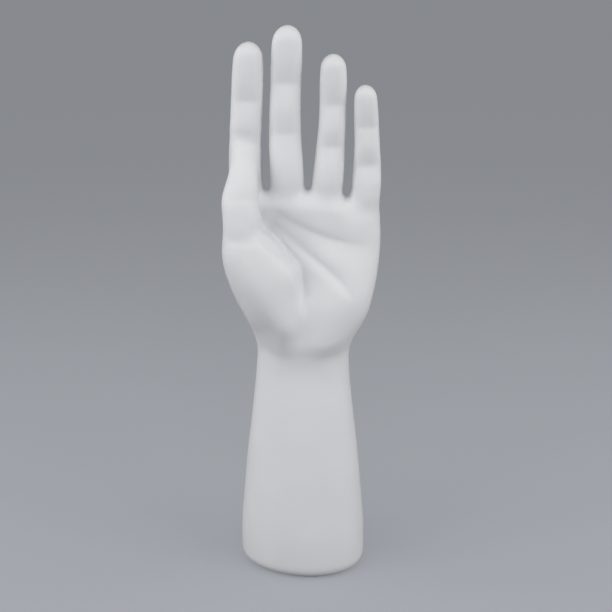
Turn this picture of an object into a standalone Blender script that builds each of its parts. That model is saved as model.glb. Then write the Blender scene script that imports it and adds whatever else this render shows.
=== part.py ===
"""A life-size hand that stands on its forearm and shows rings, bracelets and watches.

It is one white moulding: a tapering forearm with a flat foot, a palm with its lines,
four upright fingers with nails, and a thumb laid against the index finger.
The palm faces -Y, +Z runs up the arm, and the thumb is on the -X side.
The form is worked out in millimetres and becomes metres when its mesh is made.
Limbs are lofted, fused into one skin by a voxel remesh, softened, and then pressed
and raised by strokes such as a crease or a mound.
"""

import math

import bmesh
import bpy
import numpy as np

MM = 0.001

# Foot and forearm
FOOT_WIDTH = 70.8
FOOT_DEPTH = 57.8
FOOT_EDGE_RADIUS = 6.6
FOOT_TURN = -17.4
FOREARM_LENGTH = 124.0
WRIST_WIDTH = 50.6
WRIST_DEPTH = 38.0

# Palm, from the wrist crease up to the finger webs
PALM_LENGTH = 90.0
PALM_WIDTH = 82.0
HEEL_FRONT = 20.5
HOLLOW_FRONT = 12.0
RIDGE_FRONT = 12.2
KNUCKLE_BACK = 13.5
WEB_ROUNDING = 7.0

# Mounds of the palm: the thumb's ball, the heel beside it, the little finger's side, the
# ridge between the lines, the pads under the fingers, and the hollow under the index finger
BALL_RISE = 8.8
HEEL_RISE = 5.4
SIDE_RISE = 2.2
MIDDLE_RISE = 1.6
PAD_RISE = 0.5
INDEX_HOLLOW = 1.5

# Pressed lines, creases, knuckles and nails
PALM_LINE_DEPTH = 2.2
FINGER_CREASE_DEPTH = 0.65
THUMB_CREASE_DEPTH = 0.45
CREASE_REACH = 1.6
PAD_SWELL = 0.6
KNUCKLE_RISE = 1.6
KNUCKLE_REACH = 7.0
TENDON_RISE = 0.55
TENDON_WIDTH = 3.0
TENDON_LENGTH = 60.0
NAIL_LENGTH = 11.0
NAIL_GROOVE = 0.6
NAIL_BELOW_TIP = 8.5

# Skin
VOXEL = 1.3
TRIANGLES = 11600

# Each finger has its root's place across the palm as a share of half its width, the drop
# of its web below the palm's top, the heights of its two creases and its tip above that
# web, its sway from the root at web, creases and tip, and its widths at root, web,
# creases and finger pad.
FINGERS = {
    "index": {
        "across": -0.715,
        "drop": 0.0,
        "creases": (26.0, 48.4),
        "length": 77.8,
        "sway": (-0.6, -0.5, 0.7, 2.1),
        "widths": (19.5, 18.2, 17.7, 16.8, 16.0),
    },
    "middle": {
        "across": -0.215,
        "drop": 0.0,
        "creases": (32.5, 57.0),
        "length": 86.0,
        "sway": (0.9, -0.3, 0.3, 1.5),
        "widths": (19.5, 18.4, 17.5, 16.4, 16.0),
    },
    "ring": {
        "across": 0.275,
        "drop": 2.0,
        "creases": (26.3, 48.4),
        "length": 73.8,
        "sway": (1.6, 3.7, 4.7, 4.7),
        "widths": (19.0, 17.2, 15.4, 14.2, 14.0),
    },
    "little": {
        "across": 0.745,
        "drop": 6.0,
        "creases": (21.0, 40.8),
        "length": 62.3,
        "sway": (2.8, 3.7, 3.0, 1.9),
        "widths": (18.0, 16.4, 14.8, 13.3, 12.3),
    },
}

# Thumb, with its heights above the wrist crease
THUMB_CREASES = (67.5, 89.0)
THUMB_LENGTH = 118.5
THUMB_FRONT = 28.5
THUMB_TIP_ROUNDING = 7.0
THUMB_MIDDLE = -0.79

# Palm lines, as places across and up the palm: shares of half its width and of its length
HEART_LINE = ((-0.42, 0.935), (-0.28, 0.870), (0.04, 0.765), (0.42, 0.702), (0.95, 0.655))
HEAD_LINE = ((-0.56, 0.870), (-0.35, 0.795), (0.04, 0.650), (0.42, 0.515), (0.74, 0.330))
LIFE_LINE = ((-0.58, 0.795), (-0.31, 0.705), (-0.07, 0.570), (0.04, 0.400), (0.04, 0.180))
WRIST_LINE = ((-0.58, 0.150), (-0.45, 0.074), (-0.10, 0.019), (0.30, 0.024), (0.60, 0.112))


def through(knots, values, at):
    """Smooth curve through (knot, value) pairs, read at the places asked for.

    A cubic joins each pair of neighbours, with the mean of the slopes on either side.
    """
    knots = np.asarray(knots, float)
    values = np.asarray(values, float)
    at = np.clip(np.asarray(at, float), knots[0], knots[-1])
    rise = np.diff(values) / np.diff(knots)
    slope = np.concatenate([rise[:1], (rise[1:] + rise[:-1]) / 2, rise[-1:]])
    i = np.clip(np.searchsorted(knots, at, side="right") - 1, 0, len(knots) - 2)
    span = knots[i + 1] - knots[i]
    t = (at - knots[i]) / span
    return (
        values[i] * (1 + 2 * t) * (1 - t) ** 2
        + slope[i] * span * t * (1 - t) ** 2
        + values[i + 1] * t * t * (3 - 2 * t)
        - slope[i + 1] * span * t * t * (1 - t)
    )


def ease(value, low, high):
    """Runs smoothly from 0 at low to 1 at high."""
    t = np.clip((value - low) / (high - low), 0.0, 1.0)
    return t * t * (3 - 2 * t)


def bell(value, middle, below, above=None):
    """1 at the middle, falling off over the reaches below and above it."""
    reach = np.where(value < middle, below, below if above is None else above)
    return np.exp(-(((value - middle) / reach) ** 2))


def swell_between(height, low, high, fullest):
    """A pad between two creases: 0 at both and 1 at the share of its length called fullest."""
    s = np.clip((height - low) / (high - low), 0.0, 1.0)
    lean = (1 - fullest) / fullest
    return s * (1 - s) ** lean / (fullest * (1 - fullest) ** lean)


def dome(heights, top, reach):
    """Share of full size that a round end leaves at each height."""
    into = np.clip((heights - (top - reach)) / reach, 0.0, 1.0)
    return np.sqrt(np.maximum(1.0 - into**2, 0.0004))


def limb_heights(bottom, top, reach, step=1.6):
    """Heights from bottom to top, close together where the end rounds over."""
    body = np.arange(bottom, top - reach, step)
    rounded = top - reach + reach * np.sin(np.linspace(0.0, math.pi / 2, 10))
    return np.concatenate([body, rounded])


def add_loft(bm, heights, left, right, front, back, turn=0.0, squareness=2.2, sides=56):
    """Closes a skin over level sections, each a rounded superellipse in its four reaches."""
    angle = np.arange(sides) * 2 * math.pi / sides
    cosine, sine = np.cos(angle), np.sin(angle)
    turns = np.radians(np.broadcast_to(turn, heights.shape))
    powers = 2 / np.broadcast_to(squareness, heights.shape)
    rings = []
    for z, x0, x1, y0, y1, a, power in zip(heights, left, right, front, back, turns, powers):
        x = np.sign(cosine) * np.abs(cosine) ** power * (x1 - x0) / 2
        y = np.sign(sine) * np.abs(sine) ** power * (y1 - y0) / 2
        px = x * math.cos(a) - y * math.sin(a) + (x0 + x1) / 2
        py = x * math.sin(a) + y * math.cos(a) + (y0 + y1) / 2
        rings.append([bm.verts.new(place) for place in zip(px, py, np.full(sides, z))])
    for low, high in zip(rings[:-1], rings[1:]):
        for i in range(sides):
            j = (i + 1) % sides
            bm.faces.new((low[i], low[j], high[j], high[i]))
    bm.faces.new(rings[0][::-1])
    bm.faces.new(rings[-1])


def add_forearm_and_palm(bm):
    """One loft from the flat foot, in at the wrist and out to the broad palm."""
    top = FOREARM_LENGTH + PALM_LENGTH
    half = PALM_WIDTH / 2
    foot, wrist = FOOT_WIDTH / 2, WRIST_WIDTH / 2
    arm = np.array([0.0, 0.17, 0.32, 0.54, 0.77, 0.95]) * FOREARM_LENGTH
    flare = np.array([1.0, 0.99, 0.84, 0.57, 0.22, 0.0])
    palm = np.array([0.055, 0.10, 0.16, 0.25, 0.364, 0.511, 0.70, 0.90, 1.0]) * PALM_LENGTH
    palm += FOREARM_LENGTH
    knots = np.concatenate([arm, palm])
    thumb_side = np.array([0.605, 0.625, 0.675, 0.76, 0.84, 0.90, 0.93, 0.94, 0.93]) * half
    little_side = np.array([0.64, 0.68, 0.758, 0.858, 0.93, 0.993, 1.03, 1.02, 1.01]) * half
    left = np.concatenate([wrist + (foot - wrist) * flare, thumb_side])
    right = np.concatenate([wrist + 0.5 + (foot - wrist - 0.5) * flare, little_side])
    foot_y, wrist_y = FOOT_DEPTH / 2, WRIST_DEPTH / 2
    arm_y = wrist_y + (foot_y - wrist_y) * flare
    heel, hollow, ridge, knuckle = HEEL_FRONT, HOLLOW_FRONT, RIDGE_FRONT, KNUCKLE_BACK
    wrist_front = [wrist_y + 1, wrist_y + 2]
    front = [*wrist_front, heel + 0.5, heel + 0.5, heel, heel - 3.5, hollow + 0.8, ridge, ridge - 1]
    wrist_back = wrist_y - np.array([1.0, 1.0, 1.5, 2.0])
    back = [*wrist_back, knuckle + 2.9, knuckle + 1.7, knuckle + 0.5, knuckle, knuckle - 4]
    heights = np.concatenate([
        FOOT_EDGE_RADIUS * (1 - np.cos(np.linspace(0.0, math.pi / 2, 8))),
        limb_heights(FOOT_EDGE_RADIUS + 2, top, WEB_ROUNDING, 2.0),
    ])
    into = np.clip(FOOT_EDGE_RADIUS - heights, 0.0, FOOT_EDGE_RADIUS)
    inset = FOOT_EDGE_RADIUS - np.sqrt(np.maximum(FOOT_EDGE_RADIUS**2 - into**2, 0.0))
    rounding = dome(heights, top, WEB_ROUNDING)
    edge = inset + 4.0 * (1 - rounding)
    add_loft(
        bm,
        heights,
        edge - through(knots, left, heights),
        through(knots, right, heights) - edge,
        (inset - through(knots, np.concatenate([arm_y, front]), heights)) * rounding,
        (through(knots, np.concatenate([arm_y, back]), heights) - inset) * rounding,
        turn=FOOT_TURN * np.clip(1 - heights / FOREARM_LENGTH, 0, 1),
        squareness=2.05 + 0.4 * ease(heights, 0.5 * FOREARM_LENGTH, FOREARM_LENGTH),
        sides=96,
    )


def slant_webs(bm):
    """Lowers the top of the palm towards the little finger."""
    top = FOREARM_LENGTH + PALM_LENGTH
    for v in bm.verts:
        across = float(ease(v.co.x / (PALM_WIDTH / 2), 0.1, 0.98))
        v.co.z -= FINGERS["little"]["drop"] * across * float(ease(v.co.z, top - 34, top - 2))


def finger_frame(finger):
    """Heights, places across and widths of a finger at its root, web, creases and tip."""
    web = FOREARM_LENGTH + PALM_LENGTH - finger["drop"]
    heights = [web - 34, web - 18, web, *(web + c for c in finger["creases"]), web + finger["length"]]
    root = finger["across"] * PALM_WIDTH / 2
    middles = [root, root, *(root + s for s in finger["sway"])]
    return heights, middles


def add_finger(bm, finger):
    heights, middles = finger_frame(finger)
    root, knuckle, web, crease_1, crease_2, tip = heights
    w_root, w_web, w_1, w_2, w_pad = (w / 2 for w in finger["widths"])
    pad = tip - 0.4 * (tip - crease_2)
    between_1, between_2 = (web + crease_1) / 2, (crease_1 + crease_2) / 2
    knots = [root, knuckle, web, between_1, crease_1, between_2, crease_2, pad, tip]
    w_between_1, w_between_2 = (w_web + w_1) / 2 + 0.1, (w_1 + w_2) / 2 - 0.2
    width = [w_root * 0.7, w_root, w_web, w_between_1, w_1, w_between_2, w_2, w_pad, w_pad * 0.86]
    centre = [2.5, 2.5, 0.0, -0.8, -1.5, -2.6, -4.0, -5.8, -7.6]
    front = np.array([0.9, 1.12, 1.2, 1.14, 0.97, 0.94, 0.84, 0.82, 0.72]) * w_web
    back = np.array([0.55, 1.22, 1.02, 0.90, 0.97, 0.80, 0.80, 0.62, 0.54]) * w_web
    reach = w_pad * 0.98
    z = limb_heights(root, tip, reach)
    rounding = dome(z, tip, reach)
    pads = ((web, crease_1, 0.45), (crease_1, crease_2, 0.45), (crease_2, tip, 0.55))
    swell = PAD_SWELL * sum(swell_between(z, *pad) for pad in pads)
    middle = through(heights, middles, z)
    half = through(knots, width, z) * rounding
    deep = through(knots, centre, z)
    add_loft(
        bm,
        z,
        middle - half,
        middle + half,
        deep - (through(knots, front, z) + swell) * rounding,
        deep + through(knots, back, z) * rounding,
        squareness=2.25,
        sides=40,
    )


def add_thumb(bm):
    """The thumb rises out of its ball and lies along the front of the index finger."""
    half = PALM_WIDTH / 2
    tip = FOREARM_LENGTH + THUMB_LENGTH
    # The ball above the wrist first, then the joint at the web, then the two bones of the thumb
    rise = np.array([18, 34, 44, 52, 58, 64, 71, 78, 88, 96, 104, 110, THUMB_LENGTH])
    ball_outer, ball_inner = [-0.70, -0.895, -0.98, -1.035, -1.045], [-0.06, 0.02, 0.02, -0.06, -0.23]
    web_outer, web_inner = [-1.03, -1.012, -1.012], [-0.32, -0.50, -0.525]
    bone_outer, bone_inner = [-1.022, -0.98, -0.925, -0.915, -0.91], [-0.56, -0.55, -0.56, -0.60, -0.68]
    knots = FOREARM_LENGTH + rise
    outer = np.array([*ball_outer, *web_outer, *bone_outer])
    inner = np.array([*ball_inner, *web_inner, *bone_inner])
    front = THUMB_FRONT - np.array([10, 5.8, 2.4, 0.5, 0, 0.5, 1.8, 2.3, 3.4, 6.2, 9.8, 12.5, 15.5])
    back = np.array([0, 0, 0, 1, 2, 3, 6, 8, 8.5, 7, 4, 2, 0])
    z = limb_heights(knots[0], tip, THUMB_TIP_ROUNDING)
    rounding = dome(z, tip, THUMB_TIP_ROUNDING)
    left = through(knots, outer * half, z)
    right = through(knots, inner * half, z)
    creases = [FOREARM_LENGTH + c for c in THUMB_CREASES]
    swell = PAD_SWELL * sum(
        swell_between(z, low, high, fullest)
        for low, high, fullest in ((*creases, 0.45), (creases[1], tip, 0.5))
    )
    centre = -(through(knots, front, z) + through(knots, back, z)) / 2
    reach = (through(knots, front, z) - through(knots, back, z)) / 2
    add_loft(
        bm,
        z,
        (left + right) / 2 - (right - left) / 2 * rounding,
        (left + right) / 2 + (right - left) / 2 * rounding,
        centre - (reach + swell) * rounding,
        centre + reach * rounding,
        squareness=2.3,
    )


def lofted_limbs():
    bm = bmesh.new()
    add_forearm_and_palm(bm)
    slant_webs(bm)
    add_thumb(bm)
    for finger in FINGERS.values():
        add_finger(bm, finger)
    bmesh.ops.scale(bm, vec=(MM, MM, MM), verts=bm.verts)
    mesh = bpy.data.meshes.new("display_hand")
    bm.to_mesh(mesh)
    bm.free()
    return mesh


def applied(obj):
    """Puts the mesh as its modifiers shape it back into the object."""
    graph = bpy.context.evaluated_depsgraph_get()
    shaped = bpy.data.meshes.new_from_object(obj.evaluated_get(graph))
    obj.modifiers.clear()
    rough = obj.data
    obj.data = shaped
    bpy.data.meshes.remove(rough)


def points_of(mesh):
    co = np.empty(len(mesh.vertices) * 3)
    mesh.vertices.foreach_get("co", co)
    return co.reshape(-1, 3) / MM


def normals_of(mesh):
    normal = np.empty(len(mesh.vertices) * 3)
    mesh.vertices.foreach_get("normal", normal)
    return normal.reshape(-1, 3)


def soften(co, mesh, weight, rounds):
    """Moves each point towards the mean of its neighbours, by its weight."""
    ends = np.empty(len(mesh.edges) * 2, int)
    mesh.edges.foreach_get("vertices", ends)
    a, b = ends.reshape(-1, 2).T
    count = np.bincount(ends, minlength=len(co))[:, None]
    for _ in range(rounds):
        total = np.stack([
            np.bincount(a, co[b, k], len(co)) + np.bincount(b, co[a, k], len(co)) for k in range(3)
        ], axis=1)
        co = co + weight[:, None] * (total / count - co)
    return co


def palm_place(co):
    """Places across and up the palm, as shares of half its width and of its length."""
    return co[:, 0] / (PALM_WIDTH / 2), (co[:, 2] - FOREARM_LENGTH) / PALM_LENGTH


def from_line(co, line):
    """Distance from a palm line, above 0 on its upper side, and the share along it."""
    t = np.linspace(0.0, 1.0, 80)
    knots = np.linspace(0.0, 1.0, len(line))
    x = through(knots, [p[0] for p in line], t) * PALM_WIDTH / 2
    z = through(knots, [p[1] for p in line], t) * PALM_LENGTH + FOREARM_LENGTH
    far = (co[:, 0, None] - x) ** 2 + (co[:, 2, None] - z) ** 2
    near = far.argmin(axis=1)
    along_x, along_z = np.gradient(x)[near], np.gradient(z)[near]
    side = along_x * (co[:, 2] - z[near]) - along_z * (co[:, 0] - x[near])
    return np.copysign(np.sqrt(far.min(axis=1)), side), t[near]


def line_profile(co, line, above, below, fade=0.30):
    """1 on a palm line, falling off over the reaches above and below it and at its ends."""
    distance, along = from_line(co, line)
    return bell(distance, 0.0, below, above) * ease(along, 0.0, fade) * ease(1 - along, 0.0, fade)


def palm_strokes(co, facing):
    """How far each point of the palm moves forward: mounds first, then the pressed lines.

    Places are shares of half the palm's width across it and of its length up it.
    """
    across, up = palm_place(co)
    past_life_line = -from_line(co, LIFE_LINE)[0]
    low_down = 1 - ease(up, 0.26, 0.56)
    ball = BALL_RISE * bell(across, -0.44, 0.42, 0.80 - 0.24 * low_down) * bell(up, 0.29, 0.14, 0.25)
    ball *= ease(past_life_line / (1 + 0.7 * low_down), -1.0, 9.0)
    heel = HEEL_RISE * bell(across, 0.44, 0.72, 0.44) * bell(up, 0.18, 0.09, 0.34)
    side = SIDE_RISE * bell(across, 0.70, 0.28) * bell(up, 0.60, 0.24)
    middle = MIDDLE_RISE * bell(across - 0.2, (0.70 - up) * 1.3, 0.26) * bell(up, 0.66, 0.2)
    pads = PAD_RISE * bell(up, 0.93, 0.05)
    pads -= INDEX_HOLLOW * bell(across, -0.42, 0.16) * bell(up, 0.80, 0.12)
    lines = (
        line_profile(co, HEART_LINE, 4.0, 5.0) * 1.0
        + line_profile(co, HEAD_LINE, 3.0, 4.5) * 0.9
        + line_profile(co, LIFE_LINE, 3.2, 5.0) * 0.9
    )
    wrist = line_profile(co, WRIST_LINE, 3.5, 3.0) * (0.5 - 0.7 * bell(across, 0.0, 0.34))
    clear_of_thumb = 1 - ease(up, 0.42, 0.64) * ease(-co[:, 0], 18.0, 24.0)
    hollow = clear_of_thumb * (side + middle + pads - PALM_LINE_DEPTH * lines)
    return facing * (ball + heel + hollow - PALM_LINE_DEPTH * wrist)


def finger_strokes(co, facing, away):
    """Creases on the front of each finger, a knuckle and a nail on its back."""
    forward = np.zeros(len(co))
    for finger in FINGERS.values():
        heights, middles = finger_frame(finger)
        _, knuckle, web, crease_1, crease_2, tip = heights
        z = co[:, 2]
        middle = through(heights, middles, z)
        half = finger["widths"][2] / 2
        beside = co[:, 0] - middle
        own = ease(half + 3.0 - np.abs(beside), 0.0, 2.0)
        scoop = bell(beside, 0.0, half * 0.65)
        for height in (crease_1, crease_2):
            crease = 0.4 * bell(z, height, CREASE_REACH)
            crease += scoop * bell(z, height, 2 * CREASE_REACH, 4.4 * CREASE_REACH)
            forward -= FINGER_CREASE_DEPTH * own * facing * crease
        lump = bell(beside, 0.0, half * 0.8) * bell(z, knuckle, KNUCKLE_REACH)
        lump += 0.5 * own * bell(z, crease_1, 0.7 * KNUCKLE_REACH)
        rises = ease(z, knuckle - TENDON_LENGTH, knuckle - TENDON_LENGTH / 3) * (z < knuckle)
        tendon = bell(beside, 0.0, TENDON_WIDTH) * rises
        forward -= away * (KNUCKLE_RISE * lump + TENDON_RISE * tendon)
        nail_across = beside / (finger["widths"][4] * 0.36)
        nail_up = (z - tip + NAIL_BELOW_TIP) / (NAIL_LENGTH / 2)
        nail = (nail_across**4 + nail_up**4) ** 0.25
        forward += NAIL_GROOVE * away * own * bell(nail, 1.08, 0.16)
    thumb_middle = THUMB_MIDDLE * PALM_WIDTH / 2
    own = ease(9.0 - np.abs(co[:, 0] - thumb_middle), -3.0, 2.0) * ease(-co[:, 1], 18.0, 21.0)
    for height in THUMB_CREASES:
        crease = bell(co[:, 2], FOREARM_LENGTH + height, 1.4 * CREASE_REACH, 2.5 * CREASE_REACH)
        forward -= THUMB_CREASE_DEPTH * own * facing * crease
    return forward


def sculpt(obj):
    """Softens the joins of the limbs, presses and raises the strokes, and levels the foot."""
    mesh = obj.data
    co = points_of(mesh)
    _, up = palm_place(co)
    co = soften(co, mesh, np.full(len(co), 0.5), 3)
    heel = ease(up, 0.02, 0.15) * ease(-up, -0.76, -0.56) * ease(-co[:, 1], 2.0, 10.0)
    webs = ease(up, 0.88, 0.96) * ease(-up, -1.06, -1.00) * ease(co[:, 1], -15.0, -12.0)
    thumb_tip = ease(up, 0.98, 1.12) * ease(-up, -1.42, -1.36) * ease(-co[:, 0], 16.0, 20.0)
    thumb_tip *= ease(-co[:, 1], -2.0, 2.0)
    back = ease(up, 0.50, 0.62) * ease(-up, -0.99, -0.90) * ease(co[:, 1], 3.0, 7.0)
    co = soften(co, mesh, 0.6 * np.maximum.reduce([heel, 0.35 * webs, thumb_tip, 0.8 * back]), 40)
    normal = normals_of(mesh)
    facing = ease(-normal[:, 1], 0.05, 0.6)
    away = ease(normal[:, 1], 0.05, 0.6)
    palm = palm_strokes(co, facing) * ease(1.06 - up, 0.0, 0.08) * ease(up, -0.08, 0.06)
    co[:, 1] -= palm + finger_strokes(co, facing, away)
    co = soften(co, mesh, np.full(len(co), 0.4), 1)
    mesh.vertices.foreach_set("co", (co * MM).ravel())
    mesh.update()


def even_out(mesh):
    """Relaxes the larger faces a little, then levels the underside to the ground."""
    co = points_of(mesh)
    co = soften(co, mesh, np.full(len(co), 0.3), 1)
    low = co[:, 2] < 0.5
    co[low, 2] = 0.0
    mesh.vertices.foreach_set("co", (co * MM).ravel())
    mesh.update()


def white_vinyl():
    material = bpy.data.materials.new("white_vinyl")
    material.use_nodes = True
    shader = material.node_tree.nodes["Principled BSDF"]
    shader.inputs["Base Color"].default_value = (0.80, 0.80, 0.80, 1.0)
    shader.inputs["Metallic"].default_value = 0.0
    shader.inputs["Roughness"].default_value = 0.55
    return material


def main():
    for obj in list(bpy.data.objects):
        bpy.data.objects.remove(obj)
    hand = bpy.data.objects.new("display_hand", lofted_limbs())
    bpy.context.collection.objects.link(hand)

    remesh = hand.modifiers.new("one_skin", "REMESH")
    remesh.mode = "VOXEL"
    remesh.voxel_size = VOXEL * MM
    applied(hand)
    sculpt(hand)

    fewer = hand.modifiers.new("fewer_faces", "DECIMATE")
    fewer.ratio = TRIANGLES / (2 * len(hand.data.polygons))
    applied(hand)
    even_out(hand.data)
    hand.data.materials.append(white_vinyl())
    hand.data.shade_smooth()


main()
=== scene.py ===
"""Looks of the hand jewelry stand: one white moulded hand, its camera, floor and light."""

import math

import bpy
import numpy as np
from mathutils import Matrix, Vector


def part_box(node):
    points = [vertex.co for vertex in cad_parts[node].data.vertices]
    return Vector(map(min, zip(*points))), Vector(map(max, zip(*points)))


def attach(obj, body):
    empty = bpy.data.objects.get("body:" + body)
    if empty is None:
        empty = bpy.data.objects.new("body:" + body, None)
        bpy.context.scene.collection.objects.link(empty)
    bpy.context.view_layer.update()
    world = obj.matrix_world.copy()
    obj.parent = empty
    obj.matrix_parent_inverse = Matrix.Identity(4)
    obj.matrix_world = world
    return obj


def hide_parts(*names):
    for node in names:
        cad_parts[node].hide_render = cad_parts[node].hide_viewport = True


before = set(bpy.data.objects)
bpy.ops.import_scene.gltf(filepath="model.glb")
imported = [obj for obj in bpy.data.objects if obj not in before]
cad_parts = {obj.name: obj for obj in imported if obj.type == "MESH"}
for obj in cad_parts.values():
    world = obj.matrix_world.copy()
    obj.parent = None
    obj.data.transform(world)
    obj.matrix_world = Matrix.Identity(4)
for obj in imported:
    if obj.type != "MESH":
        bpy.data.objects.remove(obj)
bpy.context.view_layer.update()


# Camera
# It stands a little above the fingertips' height, just over half a metre from the hand,
# and looks down at it. The focal length is given in pixels of the square picture.
EYE = (0.002, -0.580, 0.305)
LOOK_DOWN = math.radians(14.93)
FOCAL_PIXELS = 1096.0
PICTURE_PIXELS = 612.0

camera = bpy.data.objects.new("camera", bpy.data.cameras.new("camera"))
camera.data.lens = camera.data.sensor_width * FOCAL_PIXELS / PICTURE_PIXELS
camera.location = EYE
camera.rotation_euler = (math.pi / 2 - LOOK_DOWN, 0.0, 0.0)
bpy.context.collection.objects.link(camera)
bpy.context.scene.camera = camera
bpy.context.scene.view_settings.view_transform = "Standard"


# Forearm and palm
# The forearm is the stand of the hand: an oval column with a rounded edge at its flat foot.
# It narrows to the wrist and runs into the palm without a seam, as the hand comes out of
# its mould in one piece. Sizes are in millimetres, on a hand of the drawn height.
DRAWN_HEIGHT = 299.5
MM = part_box("display_hand")[1].z / DRAWN_HEIGHT
FOOT_WIDTH = 70.8
FOOT_DEPTH = 57.8
FOOT_EDGE_RADIUS = 6.6
FOOT_TURN = -17.4
FOREARM_LENGTH = 124.0
WRIST_WIDTH = 50.6
WRIST_DEPTH = 38.0
PALM_LENGTH = 90.0
PALM_WIDTH = 82.0
PALM_TOP = FOREARM_LENGTH + PALM_LENGTH
HEEL_FRONT = 20.5
HOLLOW_FRONT = 12.0
RIDGE_FRONT = 12.2
KNUCKLE_BACK = 13.5
WEB_ROUNDING = 7.0
WEB_SLANT = 6.0


def through(knots, values, at):
    """Smooth curve through (knot, value) pairs: a cubic between neighbours, with the mean of
    the slopes on either side of each knot."""
    knots = np.asarray(knots, float)
    values = np.asarray(values, float)
    at = np.clip(np.asarray(at, float), knots[0], knots[-1])
    rise = np.diff(values) / np.diff(knots)
    slope = np.concatenate([rise[:1], (rise[1:] + rise[:-1]) / 2, rise[-1:]])
    i = np.clip(np.searchsorted(knots, at, side="right") - 1, 0, len(knots) - 2)
    span = knots[i + 1] - knots[i]
    t = (at - knots[i]) / span
    return (
        values[i] * (1 + 2 * t) * (1 - t) ** 2
        + slope[i] * span * t * (1 - t) ** 2
        + values[i + 1] * t * t * (3 - 2 * t)
        - slope[i + 1] * span * t * t * (1 - t)
    )


def ease(value, low, high):
    """Runs from 0 at low to 1 at high, as 3t squared less 2t cubed."""
    t = np.clip((value - low) / (high - low), 0.0, 1.0)
    return t * t * (3 - 2 * t)


def dome(heights, top, reach):
    """Share of full size that a round end leaves: the root of 1 less the height into it, squared."""
    into = np.clip((heights - (top - reach)) / reach, 0.0, 1.0)
    return np.sqrt(np.maximum(1.0 - into**2, 0.0004))


def limb_heights(bottom, top, reach, step=1.2):
    """Heights from bottom to top, close together where the end rounds over."""
    body = np.arange(bottom, top - reach, step)
    return np.concatenate([body, top - reach + reach * np.sin(np.linspace(0.0, math.pi / 2, 12))])


def limb(heights, left, right, front, back, turn=0.0, squareness=2.2, sides=96):
    """A limb as a grid of height by angle, closed at both ends.

    Each level section is a superellipse between its four reaches: the cosine and sine of the
    angle, each to the power 2 over the squareness, times half the section's width and depth.
    """
    angle = np.arange(sides) * 2 * math.pi / sides
    power = 2 / np.broadcast_to(squareness, heights.shape)[:, None]
    turn = np.radians(np.broadcast_to(turn, heights.shape))[:, None]
    x = np.sign(np.cos(angle)) * np.abs(np.cos(angle)) ** power * ((right - left) / 2)[:, None]
    y = np.sign(np.sin(angle)) * np.abs(np.sin(angle)) ** power * ((back - front) / 2)[:, None]
    middle_x, middle_y = ((left + right) / 2)[:, None], ((front + back) / 2)[:, None]
    grid = np.stack([
        x * np.cos(turn) - y * np.sin(turn) + middle_x,
        x * np.sin(turn) + y * np.cos(turn) + middle_y,
        np.broadcast_to(heights[:, None], x.shape),
    ], axis=2)
    index = np.arange(grid.size // 3).reshape(len(heights), sides)
    beside = np.roll(index, -1, axis=1)
    quads = np.stack([index[:-1], beside[:-1], beside[1:], index[1:]], axis=2).reshape(-1, 4)
    return grid.reshape(-1, 3), [*quads.tolist(), index[0, ::-1].tolist(), index[-1].tolist()]


def forearm_and_palm():
    """Flat foot, column, wrist and palm as one limb. Near the foot its edge follows a quarter
    circle, and at the finger webs the front and the back close in a dome."""
    half = PALM_WIDTH / 2
    foot, wrist = FOOT_WIDTH / 2, WRIST_WIDTH / 2
    arm = np.array([0.0, 0.17, 0.32, 0.54, 0.77, 0.95]) * FOREARM_LENGTH
    flare = np.array([1.0, 0.99, 0.84, 0.57, 0.22, 0.0])
    palm = np.array([0.055, 0.10, 0.16, 0.25, 0.364, 0.511, 0.70, 0.90, 1.0]) * PALM_LENGTH
    knots = np.concatenate([arm, FOREARM_LENGTH + palm])
    thumb_side = np.array([0.605, 0.625, 0.675, 0.76, 0.84, 0.90, 0.93, 0.94, 0.93]) * half
    little_side = np.array([0.64, 0.68, 0.758, 0.858, 0.93, 0.993, 1.03, 1.02, 1.01]) * half
    left = np.concatenate([wrist + (foot - wrist) * flare, thumb_side])
    right = np.concatenate([wrist + 0.5 + (foot - wrist - 0.5) * flare, little_side])
    foot_y, wrist_y = FOOT_DEPTH / 2, WRIST_DEPTH / 2
    arm_y = wrist_y + (foot_y - wrist_y) * flare
    heel, hollow, ridge, knuckle = HEEL_FRONT, HOLLOW_FRONT, RIDGE_FRONT, KNUCKLE_BACK
    wrist_front = [wrist_y + 1, wrist_y + 2]
    palm_front = [*wrist_front, heel + 0.5, heel + 0.5, heel, heel - 3.5, hollow + 0.8, ridge, ridge - 1]
    wrist_back = wrist_y - np.array([1.0, 1.0, 1.5, 2.0])
    palm_back = [*wrist_back, knuckle + 2.9, knuckle + 1.7, knuckle + 0.5, knuckle, knuckle - 4]
    heights = np.concatenate([
        FOOT_EDGE_RADIUS * (1 - np.cos(np.linspace(0.0, math.pi / 2, 10))),
        limb_heights(FOOT_EDGE_RADIUS + 1.2, PALM_TOP, WEB_ROUNDING),
    ])
    into = np.clip(FOOT_EDGE_RADIUS - heights, 0.0, FOOT_EDGE_RADIUS)
    inset = FOOT_EDGE_RADIUS - np.sqrt(np.maximum(FOOT_EDGE_RADIUS**2 - into**2, 0.0))
    rounding = dome(heights, PALM_TOP, WEB_ROUNDING)
    edge = inset + 4.0 * (1 - rounding)
    points, faces = limb(
        heights,
        edge - through(knots, left, heights),
        through(knots, right, heights) - edge,
        (inset - through(knots, [*arm_y, *palm_front], heights)) * rounding,
        (through(knots, [*arm_y, *palm_back], heights) - inset) * rounding,
        turn=FOOT_TURN * np.clip(1 - heights / FOREARM_LENGTH, 0, 1),
        squareness=2.05 + 0.4 * ease(heights, 0.5 * FOREARM_LENGTH, FOREARM_LENGTH),
        sides=160,
    )
    slant = ease(points[:, 0] / half, 0.1, 0.98) * ease(points[:, 2], PALM_TOP - 34, PALM_TOP - 2)
    points[:, 2] -= WEB_SLANT * slant
    return points, faces


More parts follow.
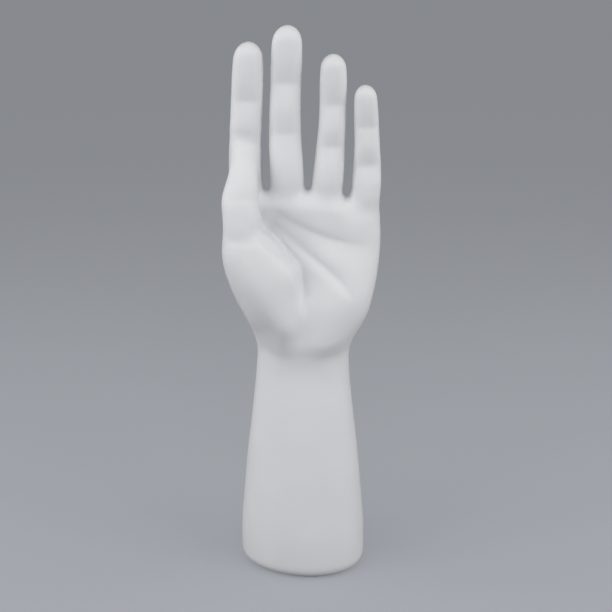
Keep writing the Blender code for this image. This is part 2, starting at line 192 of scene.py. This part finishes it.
# Fingers
# Four straight fingers stand close together, so that rings slide on from above. They are
# moulded in one piece with the palm, each with pads between its creases and a slimmer tip.
PAD_SWELL = 0.6

# A finger's numbers are its place across the palm, the drop of its web, the heights of its
# creases above that web and how hard each is pressed in, its length, its sway sideways at
# web, creases and tip, and its widths at root, web, creases and finger pad.
FINGERS = {
    "index": {
        "across": -0.715,
        "drop": 0.0,
        "creases": (25.4, 47.6),
        "press": (0.9, 1.2),
        "length": 77.8,
        "sway": (-0.6, -0.5, 0.7, 2.1),
        "widths": (19.5, 18.2, 17.7, 16.8, 16.0),
    },
    "middle": {
        "across": -0.215,
        "drop": 0.0,
        "creases": (31.0, 56.4),
        "press": (0.3, 1.8),
        "length": 86.0,
        "sway": (0.9, -0.3, 0.3, 1.5),
        "widths": (19.5, 18.4, 17.5, 16.4, 16.0),
    },
    "ring": {
        "across": 0.275,
        "drop": 2.0,
        "creases": (26.0, 47.5),
        "press": (1.1, 1.5),
        "length": 73.8,
        "sway": (1.6, 3.7, 4.7, 4.7),
        "widths": (19.0, 17.2, 15.4, 14.2, 14.0),
    },
    "little": {
        "across": 0.745,
        "drop": WEB_SLANT,
        "creases": (20.3, 40.2),
        "press": (1.2, 0.9),
        "length": 62.3,
        "sway": (2.8, 3.7, 3.0, 1.9),
        "widths": (18.0, 16.4, 14.8, 13.3, 12.3),
    },
}


def swell_between(height, low, high, fullest):
    """A pad between two creases: 0 at both, 1 at the share of its length called fullest, as
    s times a power of 1 less s."""
    s = np.clip((height - low) / (high - low), 0.0, 1.0)
    lean = (1 - fullest) / fullest
    return s * (1 - s) ** lean / (fullest * (1 - fullest) ** lean)


def finger_line(finger):
    """Heights and places across of a finger at its root, knuckle, web, creases and tip."""
    web = PALM_TOP - finger["drop"]
    heights = [web - 34, web - 18, web, *(web + c for c in finger["creases"]), web + finger["length"]]
    root = finger["across"] * PALM_WIDTH / 2
    return heights, [root, root, *(root + s for s in finger["sway"])]


def finger_limb(finger):
    """A finger as one limb, from inside the palm to its round tip, leaning a little forward."""
    heights, middles = finger_line(finger)
    root, knuckle, web, crease_1, crease_2, tip = heights
    w_root, w_web, w_1, w_2, w_pad = (w / 2 for w in finger["widths"])
    pad = tip - 0.4 * (tip - crease_2)
    between_1, between_2 = (web + crease_1) / 2, (crease_1 + crease_2) / 2
    knots = [root, knuckle, web, between_1, crease_1, between_2, crease_2, pad, tip]
    w_between_1, w_between_2 = (w_web + w_1) / 2 + 0.1, (w_1 + w_2) / 2 - 0.2
    width = [w_root * 0.7, w_root, w_web, w_between_1, w_1, w_between_2, w_2, w_pad, w_pad * 0.86]
    centre = [2.5, 2.5, 0.0, -0.8, -1.5, -2.6, -4.0, -5.8, -7.6]
    front = np.array([0.9, 1.12, 1.2, 1.14, 0.97, 0.94, 0.84, 0.82, 0.72]) * w_web
    back = np.array([0.55, 1.22, 1.02, 0.90, 0.97, 0.80, 0.80, 0.62, 0.54]) * w_web
    reach = w_pad * 0.98
    z = limb_heights(root, tip, reach)
    rounding = dome(z, tip, reach)
    pads = ((web, crease_1, 0.45), (crease_1, crease_2, 0.45), (crease_2, tip, 0.55))
    swell = PAD_SWELL * sum(swell_between(z, *pad) for pad in pads)
    middle = through(heights, middles, z)
    half = through(knots, width, z) * rounding
    deep = through(knots, centre, z)
    return limb(
        z,
        middle - half,
        middle + half,
        deep - (through(knots, front, z) + swell) * rounding,
        deep + through(knots, back, z) * rounding,
        squareness=2.25,
        sides=72,
    )


# Thumb
# The thumb lies against the front of the index finger, so that nothing sticks out when a
# glove or a bracelet goes over the hand. Its ball swells out of the palm above the wrist.
THUMB_CREASES = (67.5, 89.0)
THUMB_LENGTH = 118.5
THUMB_FRONT = 28.5


def thumb_limb():
    """The ball above the wrist, the joint at the web and the two bones, as one limb."""
    half = PALM_WIDTH / 2
    tip = FOREARM_LENGTH + THUMB_LENGTH
    rise = np.array([18, 34, 44, 52, 58, 64, 71, 78, 88, 96, 104, 110, THUMB_LENGTH])
    ball_outer, ball_inner = [-0.70, -0.895, -0.98, -1.035, -1.045], [-0.06, 0.02, 0.02, -0.06, -0.23]
    web_outer, web_inner = [-1.03, -1.012, -1.012], [-0.32, -0.50, -0.525]
    bone_outer, bone_inner = [-1.022, -0.98, -0.925, -0.915, -0.91], [-0.56, -0.55, -0.56, -0.60, -0.68]
    knots = FOREARM_LENGTH + rise
    front = THUMB_FRONT - np.array([10, 5.8, 2.4, 0.5, 0, 0.5, 1.8, 2.3, 3.4, 6.2, 9.8, 12.5, 15.5])
    back = np.array([0, 0, 0, 1, 2, 3, 6, 8, 8.5, 7, 4, 2, 0])
    z = limb_heights(knots[0], tip, 7.0)
    rounding = dome(z, tip, 7.0)
    left = through(knots, np.array([*ball_outer, *web_outer, *bone_outer]) * half, z)
    right = through(knots, np.array([*ball_inner, *web_inner, *bone_inner]) * half, z)
    creases = [FOREARM_LENGTH + c for c in THUMB_CREASES]
    swell = PAD_SWELL * (swell_between(z, *creases, 0.45) + swell_between(z, creases[1], tip, 0.5))
    centre = -(through(knots, front, z) + through(knots, back, z)) / 2
    reach = (through(knots, front, z) - through(knots, back, z)) / 2
    return limb(
        z,
        (left + right) / 2 - (right - left) / 2 * rounding,
        (left + right) / 2 + (right - left) / 2 * rounding,
        centre - (reach + swell) * rounding,
        centre + reach * rounding,
        squareness=2.3,
    )


# Palm lines
# Four lines are pressed into the moulded palm, and the ball of the thumb ends at one of them,
# the life line, and below it at the wrist. Each is a curve through places given as shares of
# half the palm's width and of its length.
LINE_PLACES = 80
PALM_LINE_DEPTH = 2.2
HEART_LINE = ((-0.42, 0.942), (-0.30, 0.885), (0.04, 0.798), (0.42, 0.731), (0.95, 0.688))
HEAD_LINE = ((-0.56, 0.885), (-0.35, 0.812), (0.04, 0.664), (0.42, 0.525), (0.74, 0.360))
LIFE_LINE = ((-0.56, 0.785), (-0.31, 0.695), (-0.10, 0.587), (-0.01, 0.440), (0.015, 0.260))
BALL_EDGE = (*LIFE_LINE, (-0.05, 0.12), (-0.10, -0.10))
WRIST_LINE = ((-0.58, 0.150), (-0.45, 0.074), (-0.10, 0.019), (0.30, 0.024), (0.60, 0.112))


def bell(value, middle, below, above=None):
    """The bell curve: e to the power of minus the distance over the reach, squared."""
    reach = np.where(value < middle, below, below if above is None else above)
    return np.exp(-(((value - middle) / reach) ** 2))


def from_line(co, line):
    """Distance from a palm line, and how far along it the nearest place is, from 0 to 1. The
    distance is above 0 on the side of the fingers and the middle of the palm: its sign is
    that of the line's direction crossed with the way to the point."""
    t = np.linspace(0.0, 1.0, LINE_PLACES)
    knots = np.linspace(0.0, 1.0, len(line))
    x = through(knots, [p[0] for p in line], t) * PALM_WIDTH / 2
    z = through(knots, [p[1] for p in line], t) * PALM_LENGTH + FOREARM_LENGTH
    far = (co[:, 0, None] - x) ** 2 + (co[:, 2, None] - z) ** 2
    near = far.argmin(axis=1)
    along_x, along_z = np.gradient(x)[near], np.gradient(z)[near]
    side = along_x * (co[:, 2] - z[near]) - along_z * (co[:, 0] - x[near])
    return np.copysign(np.sqrt(far.min(axis=1)), side), t[near]


def pressed_line(co, line, above, below, fade_in=0.30, fade_out=0.30):
    """How deep a palm line presses, 1 at its deepest. Above the line this is e to the power of
    minus the distance over the reach, and below it a bell curve, eased to 0 at both ends."""
    distance, along = from_line(co, line)
    depth = np.where(distance > 0, np.exp(-np.abs(distance) / above), bell(distance, 0.0, below))
    return depth * ease(along, 0.0, fade_in) * ease(1 - along, 0.0, fade_out)


# One skin
# The limbs are one hollow moulding with a smooth matt skin. They are joined, given one even
# skin, and softened where flesh runs together, as at the ball of the thumb and the webs.
SKIN_STEP = 0.90
SKIN_ROUNDS = 7
FLESH_ROUNDS = 100
FLESH_SOFTNESS = 0.6
WEB_SOFTNESS = 0.35
THUMB_TIP_SOFTNESS = 0.4
BACK_SOFTNESS = 0.8


def joined_limbs():
    """All the limbs' grids in one mesh, each still a closed shell of its own."""
    points, faces = [], []
    for part_points, part_faces in (forearm_and_palm(), thumb_limb(), *map(finger_limb, FINGERS.values())):
        start = sum(map(len, points))
        faces += [[start + i for i in face] for face in part_faces]
        points.append(part_points)
    mesh = bpy.data.meshes.new("hand_surface")
    mesh.from_pydata(np.concatenate(points) * MM, [], faces)
    return mesh


def one_skin(limbs):
    """The outside of the joined limbs as one mesh of even quads."""
    rough = bpy.data.objects.new("rough_hand", limbs)
    bpy.context.collection.objects.link(rough)
    remesh = rough.modifiers.new("skin", "REMESH")
    remesh.mode = "VOXEL"
    remesh.voxel_size = SKIN_STEP * MM
    graph = bpy.context.evaluated_depsgraph_get()
    skin = bpy.data.meshes.new_from_object(rough.evaluated_get(graph))
    bpy.data.objects.remove(rough)
    return skin


def soften(co, ends, weight, rounds):
    """Moves each point towards the mean of its neighbours by its weight, round after round."""
    a, b = ends.T
    count = np.bincount(ends.ravel(), minlength=len(co))[:, None]
    for _ in range(rounds):
        total = np.stack([
            np.bincount(a, co[b, k], len(co)) + np.bincount(b, co[a, k], len(co))
            for k in range(co.shape[1])
        ], axis=1)
        co = co + weight[:, None] * (total / count - co)
    return co


def surface_arrays(mesh):
    """Points in millimetres, and the two ends of each edge."""
    co = np.empty(len(mesh.vertices) * 3)
    mesh.vertices.foreach_get("co", co)
    ends = np.empty(len(mesh.edges) * 2, int)
    mesh.edges.foreach_get("vertices", ends)
    return co.reshape(-1, 3) / MM, ends.reshape(-1, 2)


def outward(mesh, co):
    """Puts the points into the mesh and gives its outward directions."""
    mesh.vertices.foreach_set("co", (co * MM).ravel())
    mesh.update()
    normal = np.empty(len(co) * 3)
    mesh.vertices.foreach_get("normal", normal)
    return normal.reshape(-1, 3)


def band(value, start, full, full_end, end):
    """Eases from 0 at start to 1 at full, and from 1 at full_end back to 0 at end."""
    return ease(value, start, full) * ease(-value, -end, -full_end)


skin = one_skin(joined_limbs())
co, ends = surface_arrays(skin)
co = soften(co, ends, np.full(len(co), 0.5), SKIN_ROUNDS)

# Each soft place is a band of heights, in shares of the palm's length above the wrist, on one
# side of the hand, in millimetres from its middle. The ball's place stops at the ball's edge,
# and only low over the wrist does it run across to the heel.
up = (co[:, 2] - FOREARM_LENGTH) / PALM_LENGTH
ball_and_heel = band(up, 0.02, 0.15, 0.56, 0.76) * ease(-co[:, 1], 2.0, 10.0)
ball_and_heel *= np.maximum(ease(-from_line(co, BALL_EDGE)[0], 0.5, 6.0), ease(-up, -0.30, -0.16))
webs = WEB_SOFTNESS * band(up, 0.88, 0.96, 1.00, 1.06) * ease(co[:, 1], -15.0, -12.0)
thumb_tip = THUMB_TIP_SOFTNESS * band(up, 0.98, 1.12, 1.32, 1.37)
thumb_tip *= ease(-co[:, 0], 16.0, 20.0) * ease(-co[:, 1], -2.0, 2.0)
back_of_hand = BACK_SOFTNESS * band(up, 0.50, 0.62, 0.90, 0.99) * ease(co[:, 1], 3.0, 7.0)
little_root = band(up, 0.74, 0.82, 0.92, 0.99)
little_root *= ease(co[:, 0], 20.0, 27.0) * ease(-co[:, 1], 0.0, 4.0)
fleshy = np.maximum.reduce([ball_and_heel, webs, thumb_tip, back_of_hand, little_root])
co = soften(co, ends, FLESH_SOFTNESS * fleshy, FLESH_ROUNDS)


# Palm
# The moulded palm has two mounds over the wrist, the ball of the thumb and the heel of the
# hand, a raised outer edge with a ridge across it, pads under the fingers, and a deep corner
# beside the thumb. Each rise and depth is in millimetres.
BALL_RISE = 7.2
BALL_ACROSS = -0.44
HEEL_RISE = 2.4
EDGE_RISE = 2.2
RIDGE_RISE = 1.6
WEB_PAD_RISE = 0.25
LITTLE_PAD_RISE = 1.5
CORNER_DEPTH = 4.8
CORNER_REACH = 6.5
THUMB_INSIDE = -22.5
HEART_PRESS = 1.0
HEAD_PRESS = 1.15
LIFE_PRESS = 3.4


def palm_forward(co, facing):
    """How far each point of the palm moves forward. A mound is its rise times a bell curve
    across the palm and another up it, and lines and corner are taken away from the sum."""
    across, up = co[:, 0] / (PALM_WIDTH / 2), (co[:, 2] - FOREARM_LENGTH) / PALM_LENGTH
    low_down = 1 - ease(up, 0.26, 0.56)
    from_ball = across - BALL_ACROSS
    ball = BALL_RISE * bell(across, BALL_ACROSS, 0.42, 0.80 - 0.24 * low_down)
    ball *= bell(up + 0.37 * from_ball, 0.335, 0.18 - 0.12 * from_ball, 0.22)
    ball *= ease(-from_line(co, BALL_EDGE)[0], -2.0, 5.0 + 6.0 * low_down)
    heel_up = up - 0.5 * np.maximum(across - 0.25, 0.0) ** 2
    heel = HEEL_RISE * bell(across, 0.50, 0.48, 0.44) * bell(heel_up, 0.12, 0.08, 0.36)
    edge = EDGE_RISE * bell(across, 0.70, 0.28) * bell(up, 0.62, 0.26, 0.32)
    ridge = RIDGE_RISE * bell(across - 0.2, (0.70 - up) * 1.3, 0.26) * bell(up, 0.66, 0.2)
    little_pad = LITTLE_PAD_RISE * bell(across, 0.86, 0.24) * bell(up, 0.82, 0.14, 0.06)
    pads = WEB_PAD_RISE * bell(up, 0.93, 0.05) + little_pad
    beside_thumb = co[:, 0] - THUMB_INSIDE
    corner = CORNER_DEPTH * ease(from_line(co, LIFE_LINE)[0], -1.5, 0.5)
    corner *= ease(beside_thumb, -2.5, 0.5) * np.exp(-np.maximum(beside_thumb, 0.0) / CORNER_REACH)
    corner *= bell(up, 0.745, 0.08, 0.12)
    heart = HEART_PRESS * pressed_line(co, HEART_LINE, 3.0, 8.0, 0.4)
    head = HEAD_PRESS * pressed_line(co, HEAD_LINE, 4.0, 3.0, 0.55)
    life = LIFE_PRESS * pressed_line(co, LIFE_LINE, 4.5, 1.4, 0.10, 0.4)
    wrist = pressed_line(co, WRIST_LINE, 4.0, 8.0) * (0.5 - 0.6 * bell(across, 0.05, 0.38))
    clear_of_thumb = 1 - ease(up, 0.42, 0.64) * ease(-co[:, 0], 18.0, 24.0)
    lines = PALM_LINE_DEPTH * (heart + head + life)
    hollow = clear_of_thumb * (edge + ridge + pads - lines) - corner
    palm = facing * (ball + heel + hollow - PALM_LINE_DEPTH * wrist)
    return palm * ease(1.06 - up, 0.0, 0.08) * ease(up, -0.08, 0.06)


# Creases, knuckles and nails
# The fingers have a shallow crease at each joint in front, and on their backs a knuckle,
# the tendon that runs to it and a short nail with a groove round it.
FINGER_CREASE_DEPTH = 0.65
CREASE_FOLD = 0.3
KNUCKLE_RISE = 1.6
NAIL_LENGTH = 11.0
NAIL_GROOVE = 0.6


def finger_forward(co, facing, away):
    """How far each point of the fingers, the thumb and the back of the hand moves forward.
    A crease is a bell curve up the finger, a sharp one for its fold and a wide one for its
    dip. A nail's groove is a bell curve round the nail, whose outline is where the fourth
    powers of the shares across and up it add up to 1."""
    forward = np.zeros(len(co))
    z = co[:, 2]
    for finger in FINGERS.values():
        heights, middles = finger_line(finger)
        _, knuckle, web, crease_1, crease_2, tip = heights
        half = finger["widths"][2] / 2
        beside = co[:, 0] - through(heights, middles, z)
        own = ease(half + 3.0 - np.abs(beside), 0.0, 2.0)
        scoop = bell(beside, 0.0, half * 0.65)
        for height, press in zip((crease_1, crease_2), finger["press"]):
            fold = CREASE_FOLD * bell(z, height, 1.6)
            dip = press * scoop * bell(z, height, 9.6, 6.4)
            forward -= FINGER_CREASE_DEPTH * own * facing * (fold + dip)
        forward -= KNUCKLE_RISE * away * bell(beside, 0.0, half * 0.8) * bell(z, knuckle, 7.0)
        forward -= 0.5 * KNUCKLE_RISE * away * own * bell(z, crease_1, 5.0)
        tendon = bell(beside, 0.0, 3.0) * ease(z, knuckle - 60, knuckle - 20) * (z < knuckle)
        forward -= 0.35 * KNUCKLE_RISE * away * tendon
        nail_across = beside / (finger["widths"][4] * 0.36)
        nail_up = (z - tip + 8.5) / (NAIL_LENGTH / 2)
        nail = (nail_across**4 + nail_up**4) ** 0.25
        forward += NAIL_GROOVE * away * own * bell(nail, 1.08, 0.16)
    on_thumb = ease(9.0 - np.abs(co[:, 0] + 0.79 * PALM_WIDTH / 2), -3.0, 2.0) * ease(-co[:, 1], 18.0, 21.0)
    for height in THUMB_CREASES:
        crease = bell(z, FOREARM_LENGTH + height, 2.2, 4.0)
        forward -= 0.7 * FINGER_CREASE_DEPTH * on_thumb * facing * crease
    return forward


# Finished hand
# Palm and fingers move forward together. Where the skin stands on edge, as on the flank of
# the thumb's ball, the movement is softened first, so that nothing there ends in a fold, and
# the ball's foot is smoothed last. The underside is flat, and the hand fills the CAD's box.
WALL_ROUNDS = 25
LAST_ROUNDS = 3
BALL_FOOT_ROUNDS = 12
FLAT_UNDERSIDE = 0.4

normal = outward(skin, co)
facing, away = ease(-normal[:, 1], 0.05, 0.6), ease(normal[:, 1], 0.05, 0.6)
forward = (palm_forward(co, facing) + finger_forward(co, facing, away))[:, None]
walls = (1 - ease(-normal[:, 1], 0.3, 0.9)) * ease(-co[:, 1], 4.0, 8.0)
walls *= band(up, 0.1, 0.2, 0.88, 0.95)
co[:, 1] -= soften(forward, ends, walls, WALL_ROUNDS)[:, 0]
co = soften(co, ends, np.full(len(co), 0.4), LAST_ROUNDS)
ball_foot = bell(from_line(co, LIFE_LINE)[0], -0.5, 2.5, 1.5) * ease(-co[:, 1], 2.0, 6.0)
co = soften(co, ends, FLESH_SOFTNESS * ball_foot, BALL_FOOT_ROUNDS)
co[co[:, 2] < FLAT_UNDERSIDE, 2] = 0.0

box_low, box_high = (np.array(corner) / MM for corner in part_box("display_hand"))
low, high = co.min(axis=0), co.max(axis=0)
co = box_low + (co - low) * (box_high - box_low) / (high - low)
outward(skin, co)
skin.shade_smooth()
skin.name = "white_hand"
hand = bpy.data.objects.new("white_hand", skin)
bpy.context.collection.objects.link(hand)


# White vinyl
# The hand is white vinyl from a blasted mould: matt, very slightly mottled, with a fine
# grain and soft highlights.
VINYL_WHITE = (0.785, 0.788, 0.802, 1.0)
VINYL_SHADE = (0.762, 0.765, 0.780, 1.0)


def link(tree, output, socket):
    tree.links.new(output, socket)


def noise(tree, place, scale, detail):
    """Noise on the object's own coordinates, with its scale in waves for each metre."""
    node = tree.nodes.new("ShaderNodeTexNoise")
    node.inputs["Scale"].default_value = scale
    node.inputs["Detail"].default_value = detail
    link(tree, place, node.inputs["Vector"])
    return node.outputs["Fac"]


def spread(tree, value, low, high):
    """Maps the middle of a noise onto the range from low to high."""
    node = tree.nodes.new("ShaderNodeMapRange")
    node.inputs["From Min"].default_value = 0.3
    node.inputs["From Max"].default_value = 0.7
    node.inputs["To Min"].default_value = low
    node.inputs["To Max"].default_value = high
    link(tree, value, node.inputs["Value"])
    return node.outputs["Result"]


def white_vinyl():
    material = bpy.data.materials.new("white_vinyl")
    material.use_nodes = True
    tree = material.node_tree
    shader = tree.nodes["Principled BSDF"]
    place = tree.nodes.new("ShaderNodeTexCoord").outputs["Object"]
    mix = tree.nodes.new("ShaderNodeMix")
    mix.data_type = "RGBA"
    mix.inputs["A"].default_value = VINYL_SHADE
    mix.inputs["B"].default_value = VINYL_WHITE
    link(tree, spread(tree, noise(tree, place, 35.0, 4.0), 0.0, 1.0), mix.inputs["Factor"])
    link(tree, mix.outputs["Result"], shader.inputs["Base Color"])
    link(tree, spread(tree, noise(tree, place, 140.0, 3.0), 0.50, 0.62), shader.inputs["Roughness"])
    bump = tree.nodes.new("ShaderNodeBump")
    bump.inputs["Strength"].default_value = 0.12
    bump.inputs["Distance"].default_value = 0.0002
    link(tree, noise(tree, place, 1800.0, 2.0), bump.inputs["Height"])
    link(tree, bump.outputs["Normal"], shader.inputs["Normal"])
    return material


hand.data.materials.append(white_vinyl())
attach(hand, "root")
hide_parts("display_hand")


# Floor and light
# A plain pale grey floor runs far out to all sides. The camera sees it paler than its light
# on the hand would make it, and the world behind it is seen in the same grey. Soft light
# comes from all round, and most of it from wide lamps in front on the left and the right.
FLOOR_COLOUR = (0.24, 0.25, 0.27)
FLOOR_GLOW = 0.80
FLOOR_SIZE = 60.0
SOFT_LIGHT = 0.21

floor_half = FLOOR_SIZE / 2
floor_mesh = bpy.data.meshes.new("floor")
floor_corners = [(-floor_half, -floor_half, 0.0), (floor_half, -floor_half, 0.0)]
floor_corners += [(floor_half, floor_half, 0.0), (-floor_half, floor_half, 0.0)]
floor_mesh.from_pydata(floor_corners, [], [(0, 1, 2, 3)])
floor = bpy.data.objects.new("floor", floor_mesh)
bpy.context.collection.objects.link(floor)
floor_material = bpy.data.materials.new("pale_floor")
floor_material.use_nodes = True
floor_shader = floor_material.node_tree.nodes["Principled BSDF"]
floor_shader.inputs["Base Color"].default_value = (*FLOOR_COLOUR, 1.0)
floor_shader.inputs["Roughness"].default_value = 0.9
floor_shader.inputs["Specular IOR Level"].default_value = 0.0
glow = floor_material.node_tree.nodes.new("ShaderNodeMath")
glow.operation = "MULTIPLY"
glow.inputs[1].default_value = FLOOR_GLOW
camera_ray = floor_material.node_tree.nodes.new("ShaderNodeLightPath").outputs["Is Camera Ray"]
link(floor_material.node_tree, camera_ray, glow.inputs[0])
link(floor_material.node_tree, glow.outputs["Value"], floor_shader.inputs["Emission Strength"])
floor_shader.inputs["Emission Color"].default_value = (*FLOOR_COLOUR, 1.0)
floor_mesh.materials.append(floor_material)

world = bpy.data.worlds.new("soft_light")
world.use_nodes = True
bpy.context.scene.world = world
world_tree = world.node_tree
background = world_tree.nodes["Background"]
background.inputs["Color"].default_value = (1.0, 1.0, 1.0, 1.0)
background.inputs["Strength"].default_value = SOFT_LIGHT
behind = world_tree.nodes.new("ShaderNodeBackground")
behind.inputs["Color"].default_value = (*FLOOR_COLOUR, 1.0)
behind.inputs["Strength"].default_value = SOFT_LIGHT + FLOOR_GLOW
seen = world_tree.nodes.new("ShaderNodeMixShader")
link(world_tree, world_tree.nodes.new("ShaderNodeLightPath").outputs["Is Camera Ray"], seen.inputs[0])
link(world_tree, background.outputs["Background"], seen.inputs[1])
link(world_tree, behind.outputs["Background"], seen.inputs[2])
link(world_tree, seen.outputs["Shader"], world_tree.nodes["World Output"].inputs["Surface"])


def soft_box(name, place, towards, size, watts):
    """A square lamp with a wide face, turned to the place that it lights."""
    data = bpy.data.lights.new(name, "AREA")
    data.size = size
    data.energy = watts
    lamp = bpy.data.objects.new(name, data)
    lamp.location = place
    reach = [t - p for t, p in zip(towards, place)]
    flat = math.hypot(reach[0], reach[1])
    lamp.rotation_euler = (math.atan2(flat, -reach[2]), 0.0, math.atan2(reach[1], reach[0]) - math.pi / 2)
    bpy.context.collection.objects.link(lamp)


HAND_MIDDLE = (0.0, 0.0, 0.18)
soft_box("light_above", (-0.06, -0.36, 0.66), HAND_MIDDLE, 0.4, 0.6)
soft_box("light_front", (0.0, -1.20, 0.35), HAND_MIDDLE, 0.8, 2.1)
soft_box("light_left", (-0.70, -0.50, 0.50), HAND_MIDDLE, 0.6, 2.75)
soft_box("light_right", (0.70, -0.50, 0.50), HAND_MIDDLE, 0.6, 2.8)
soft_box("light_left_side", (-0.80, 0.0, 0.40), HAND_MIDDLE, 0.7, 1.9)
soft_box("light_right_side", (0.80, 0.0, 0.40), HAND_MIDDLE, 0.7, 1.8)
